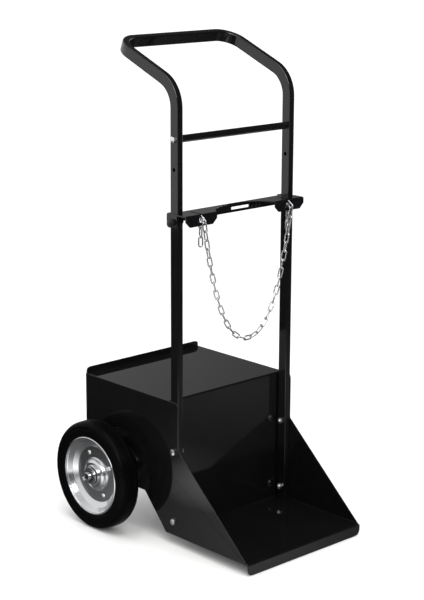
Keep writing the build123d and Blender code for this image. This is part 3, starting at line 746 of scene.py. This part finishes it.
class TROLLEY_OT_tyres(bpy.types.Operator):
    """Builds the solid tyres with their beads, side steps, mould ribs and shallow tread grooves"""
    bl_idname = "trolley.tyres"
    bl_label = "Tyres"

    # from the bead in the rim's V, out over the side wall and its steps, to the crown
    HALF = [(1.8, 70.2), (7.3, 78.7), (16.6, 86.4), (18.3, 88.4), (18.3, 91.2), (20.6, 91.2), (21.9, 92.0),
            (22.6, 94.4), (22.9, 96.4), (23.4, 97.0), (23.5, 99), (23.5, 108.6), (23.1, 109.2),
            (23.1, 112.2), (23.4, 112.8), (22.9, 116.5), (21.4, 119.8), (20.6, 121.4), (20.1, 121.5),
            (18.6, 122.6), (14.5, 124.3), (10.6, 124.85), (10.2, 124.2), (9.4, 124.2), (9.0, 124.9),
            (1.0, 125.0)]
    FILLET = 0.7

    def execute(self, context):
        scale = context.scene.trolley_wheels.radius / (self.HALF[-1][1] * MM)
        profile = rounded(mirrored(self.HALF), self.FILLET, 5) * MM * (1, scale) + (WHEEL_MIDDLE, 0)
        for name, side in SIDES.items():
            made = piece("tyre_" + name + "_moulded", [turned(profile, side, 160)], finish("rubber_tyre"))
            place(made, "wheel_" + name, ["tyre_" + name])
        return {"FINISHED"}


class TROLLEY_OT_rims(bpy.types.Operator):
    """Builds each rim's two pressed dishes with rolled lips, and the rivets that join them"""
    bl_idname = "trolley.rims"
    bl_label = "Rims"

    FACE = [(11, 23.1), (11, 28), (9, 34), (4, 36.5), (2, 38.5), (2, 65), (3.6, 67.3), (8.6, 76.3),
            (18.5, 84.5), (19.6, 86.2), (21.7, 86.6), (22.3, 88.5), (21.7, 90.6), (20.5, 91)]
    BACK = [(18.5, 91), (18.5, 88.2), (16.8, 86), (7.6, 78.2), (1.8, 69.6), (0, 66), (0, 37.5), (2.2, 35),
            (7, 33), (9, 27.6), (9, 23.1)]
    ROUNDS = [0.6, 3, 2.5, 3, 3, 6, 6, 6, 4, 1, 1.5, 1.5, 1.5, 0.6, 0.9, 3, 3, 5, 5, 5, 2, 2, 2, 2, 0.6]
    RIVET_CIRCLE = 52 * MM
    FIRST_RIVET = math.radians(62)
    GRIP = 1.9                  # from the wheel's middle plane to a rivet head's foot
    HEAD = [(0, 5.3), (0.5, 5.4), (1.2, 4.9), (1.9, 3.9), (2.3, 2.6), (2.5, 1.2), (2.52, 0.3)]

    def execute(self, context):
        wheels = context.scene.trolley_wheels
        profile = rounded(self.FACE + self.BACK, self.ROUNDS, 7) * MM
        angles = self.FIRST_RIVET + np.arange(wheels.rivets) * 2 * math.pi / wheels.rivets
        for name, side in SIDES.items():
            for part, facing in (("outer", 1), ("inner", -1)):
                made = piece("rim_" + part + "_" + name + "_pressed",
                             [turned(profile * (facing, 1) + (WHEEL_MIDDLE, 0), side, 144)],
                             finish("zinc_rim"), 50)
                place(made, "wheel_" + name, ["rim_" + part + "_" + name])
            skins = []
            for angle in angles:
                centre = (WHEEL_Y + self.RIVET_CIRCLE * math.cos(angle),
                          WHEEL_Z + self.RIVET_CIRCLE * math.sin(angle))
                dome = (np.array(self.HEAD) + (self.GRIP, 0)) * MM
                dome = np.concatenate([dome[::-1] * (-1, 1), dome]) + (WHEEL_MIDDLE, 0)
                skins.append(turned(dome, side, 28, False, centre))
            made = piece("rim_rivets_" + name + "_domed", skins, finish("zinc_bolt"), 50)
            place(made, "wheel_" + name, ["rim_rivets_" + name])
        return {"FINISHED"}


class TROLLEY_OT_hubs(bpy.types.Operator):
    """Builds the turned hubs, their bushes, the axle, washers and spacers, and gives the circlips their
    finish
    """
    bl_idname = "trolley.hubs"
    bl_label = "Hubs and axle"

    TUBE = [(191, 17), (243, 17), (243, 22), (242, 23), (239.5, 23), (239.2, 22.4), (238.4, 22.4),
            (238.1, 23), (192, 23), (191, 22)]
    BUSH = [(0, 10.05), (16.5, 10.05), (16.5, 19), (15.6, 20), (14, 20), (14, 17), (0, 17)]
    END = [(238, 0.4), (238, 5.2), (258.2, 5.6), (259, 6.6), (259, 8.9), (257.8, 10.0), (249.7, 10.0),
           (249.6, 9.3), (247.9, 9.3), (247.8, 10.0)]

    BUSH_OUTER, BUSH_INNER = (229, 0), (205, 0)
    BORE = 10.05
    RINGS = (("axle_spacers", 176, 186, 15, "zinc_rim"), ("inner_washers", 186, 188, 18, "zinc_bolt"),
             ("outer_washers", 245.8, 247.8, 20, "zinc_bolt"))

    def ring(self, low, high, outer, edge=0.3):
        """A washer's profile with its outer edges turned off."""
        return np.array([(low, self.BORE), (high, self.BORE), (high, outer - edge), (high - edge, outer),
                         (low + edge, outer), (low, outer - edge)]) * MM

    def execute(self, context):
        steel = finish("hub_steel")
        for name, side in SIDES.items():
            tube = rounded(self.TUBE, 0.3, 4) * MM
            place(piece("hub_tube_" + name + "_turned", [turned(tube, side)], steel),
                  "wheel_" + name, ["hub_tube_" + name])
            bush = rounded(self.BUSH, 0.25, 4)
            bushes = [turned((bush + self.BUSH_OUTER) * MM, side),
                      turned((bush * (-1, 1) + self.BUSH_INNER) * MM, side)]
            place(piece("hub_bearings_" + name + "_moulded", bushes, finish("bearing_plastic")),
                  "wheel_" + name, ["hub_bearings_" + name])
        end = rounded(self.END, 0.25, 4, closed=False) * MM
        bar = np.concatenate([end, end[::-1] * (-1, 1)])
        place(piece("axle_drawn", [turned(bar, 1, 64, False)], finish("axle_steel")),
              "root", ["axle"])
        for node, low, high, outer, slot in self.RINGS:
            skins = [turned(self.ring(low, high, outer), side) for side in SIDES.values()]
            place(piece(node + "_turned", skins, steel), "root", [node])
        dress(["axle_circlips"], "spring_steel")
        return {"FINISHED"}


class TROLLEY_OT_stage(bpy.types.Operator):
    """Sets a pale floor, soft studio light and the camera"""
    bl_idname = "trolley.stage"
    bl_label = "Stage"

    FLOOR_RADIUS = 3.7
    FLOOR_HUB = 0.5             # radius of the first and last row of the floor's grid
    # the disc's section from its lower face round the edge: inwards from the rim, and height
    FLOOR_EDGE = np.array([(4, -8), (0, -5), (2, -1.2), (10, -0.5)]) * MM
    # painted pools of light, glowing on the floor for glossy rays only: middle, reach, brightness, how fast
    # it fades
    POOLS = [((-0.78, -0.5, 0), 1.4, 2.3, 3), ((-0.62, 0.12, 0), 0.27, 2.2, 1),
             ((0.0, -0.45, 0), 0.35, 0.4, 1), ((0.75, -0.8, 0), 0.75, 0.2, 1),
             ((0.85, 0.1, 0), 0.5, 2.0, 1)]
    # walls of light that it sees in the room: direction, cosines where one starts and is full, brightness
    WALLS = [((-0.68, 0.73, 0.0), -0.24, 0.86, 1.0), ((-0.49, -0.60, 0.63), 0.960, 0.984, 10.0),
             ((0.99, -0.1, 0.0), 0.76, 0.93, 1.3)]
    SHADE = 0.03                # of the room where no pool or wall lights it
    WHITE = 1.16                # of the room for everything but gloss
    # where each lamp stands, what it faces, and its width and height
    LAMPS = {"key": ((-0.6, -0.6, 3.4), (0, 0, 0.3), (2.6, 2.6)),
             "flash": ((-1.75, -2.45, 2.35), (0, 0, 0.9), (0.55, 0.75))}
    EYE = Vector((-2.42392, -2.58083, 1.40793))
    AHEAD = Vector((0.66141, 0.70988, -0.24209))
    ROLL = math.radians(-0.235)
    SENSOR = 36
    FARTHEST = 50

    def total(self, tree, levels):
        """Sum of brightness levels above the room's shade."""
        level = self.SHADE
        for more in levels:
            level = add(tree, "Math", {0: level, 1: more}, operation="ADD").outputs[0]
        return level

    def floor(self, stage):
        """A thin round disc of matt white, just under the ground plane, with a rounded edge.
        Glossy rays see it instead as a painted glow, dark with painted pools of light on it: each
        one's brightness is a power of one minus the distance from its middle over its reach."""
        material, tree, shader, here = surface("matt white studio paint", Roughness=0.6, IOR=1.4)
        tint = np.array(stage.floor[:])
        cloud = add(tree, "TexNoise", {"Vector": here, "Scale": 1 / (200 * MM), "Detail": 3.0}).outputs[0]
        vary(tree, shader, cloud, (tint * 0.985, tint * 1.01), cloud, (0.55, 0.65), cloud, 0.01 * MM)
        levels = []
        for middle, reach, brightness, power in self.POOLS:
            far = add(tree, "VectorMath", {0: here, 1: middle}, operation="DISTANCE").outputs["Value"]
            near = add(tree, "MapRange", {"Value": far, "From Max": reach, "To Min": 1.0, "To Max": 0.0})
            fade = add(tree, "Math", {0: near.outputs[0], 1: power}, operation="POWER")
            levels.append(add(tree, "Math", {0: fade.outputs[0], 1: brightness * stage.room},
                              operation="MULTIPLY").outputs[0])
        # painted light: for glossy rays the floor glows with these pools, though it is no lamp
        painted_pool_glow = add(tree, "Emission", {"Strength": self.total(tree, levels)})
        gloss = add(tree, "LightPath").outputs["Is Glossy Ray"]
        both = add(tree, "MixShader", {0: gloss, 1: shader.outputs[0], 2: painted_pool_glow.outputs[0]})
        tree.links.new(both.outputs[0], tree.get_output_node("ALL").inputs["Surface"])
        angle = np.linspace(0, 2 * math.pi, 128, endpoint=False)
        edge = self.FLOOR_EDGE * (-1, 1) + (self.FLOOR_RADIUS, 0)
        rows = np.concatenate([[(self.FLOOR_HUB, edge[0, 1])], edge, [(self.FLOOR_HUB, edge[-1, 1])]])
        grid = np.stack([rows[:, :1] * np.cos(angle), rows[:, :1] * np.sin(angle),
                         np.broadcast_to(rows[:, 1:], (len(rows), len(angle)))], 2)
        piece("studio_floor", [shell(grid)], material)

    def softbox(self, name, at, target, size, power):
        """A soft rectangular light that faces a point."""
        data = bpy.data.lights.new(name, "AREA")
        data.shape = "RECTANGLE"
        data.size, data.size_y = size
        data.energy = power
        lamp = bpy.data.objects.new(name, data)
        lamp.location = at
        lamp.visible_camera = False
        lamp.rotation_euler = (Vector(target) - Vector(at)).to_track_quat("-Z", "Y").to_euler()
        bpy.context.scene.collection.objects.link(lamp)

    def world(self, stage):
        """White to the eye; what the gloss mirrors is a dark room with soft walls of light."""
        world = bpy.data.worlds.new("studio")
        world.use_nodes = True
        tree = world.node_tree
        tree.nodes.clear()
        way = add(tree, "TexCoord").outputs["Generated"]
        levels = []
        for direction, start, full, brightness in self.WALLS:
            toward = add(tree, "VectorMath", {0: way, 1: direction}, operation="DOT_PRODUCT")
            levels.append(add(tree, "MapRange", {"Value": toward.outputs["Value"], "From Min": start,
                                                 "From Max": full, "To Max": brightness * stage.room},
                              interpolation_type="SMOOTHSTEP").outputs[0])
        gloss = add(tree, "LightPath").outputs["Is Glossy Ray"]
        level = add(tree, "Mix", {0: gloss, 2: self.WHITE, 3: self.total(tree, levels)})
        back = add(tree, "Background", {"Color": (1, 1, 1, 1), "Strength": level.outputs[0]})
        add(tree, "OutputWorld", {"Surface": back.outputs[0]})
        bpy.context.scene.world = world

    def execute(self, context):
        stage = context.scene.trolley_stage
        scene = context.scene
        self.floor(stage)
        self.world(stage)
        for name, (at, target, size) in self.LAMPS.items():
            self.softbox(name, at, target, size, getattr(stage, name))
        scene.view_settings.view_transform = "Standard"
        data = bpy.data.cameras.new("camera")
        data.sensor_fit = "VERTICAL"
        data.sensor_height = self.SENSOR
        data.lens = stage.lens
        data.clip_end = self.FARTHEST
        camera = bpy.data.objects.new("camera", data)
        camera.location = self.EYE
        camera.rotation_mode = "QUATERNION"
        roll = Quaternion(self.AHEAD.normalized(), self.ROLL)
        camera.rotation_quaternion = roll @ self.AHEAD.to_track_quat("-Z", "Y")
        scene.collection.objects.link(camera)
        scene.camera = camera
        return {"FINISHED"}


class TROLLEY_PT_panel(bpy.types.Panel):
    """Lists the trolley's settings and pieces"""
    bl_idname = "TROLLEY_PT_panel"
    bl_label = "Trolley"
    bl_space_type = "VIEW_3D"
    bl_region_type = "UI"
    bl_category = "Trolley"

    def draw(self, context):
        for name in GROUPS:
            box = self.layout.box()
            group = getattr(context.scene, name)
            for key in group.__annotations__:
                box.prop(group, key)
        for operator in OPERATORS:
            self.layout.operator(operator.bl_idname)


GROUPS = {"trolley_body": TrolleyBody, "trolley_wheels": TrolleyWheels,
          "trolley_chain": TrolleyChain, "trolley_stage": TrolleyStage}
OPERATORS = [TROLLEY_OT_tube_frame, TROLLEY_OT_panels, TROLLEY_OT_fasteners, TROLLEY_OT_chain,
             TROLLEY_OT_tyres, TROLLEY_OT_rims, TROLLEY_OT_hubs, TROLLEY_OT_stage]
CLASSES = [*GROUPS.values(), *OPERATORS, TROLLEY_PT_panel]


def register():
    """Adds the classes and the scene's settings."""
    for cls in CLASSES:
        bpy.utils.register_class(cls)
    for name, group in GROUPS.items():
        setattr(bpy.types.Scene, name, bpy.props.PointerProperty(type=group))


def unregister():
    """Takes them away again."""
    for name in GROUPS:
        delattr(bpy.types.Scene, name)
    for cls in reversed(CLASSES):
        bpy.utils.unregister_class(cls)


def main():
    """Builds every piece in order."""
    register()
    for operator in OPERATORS:
        group, name = operator.bl_idname.split(".")
        getattr(getattr(bpy.ops, group), name)()


if __name__ == "__main__":
    main()
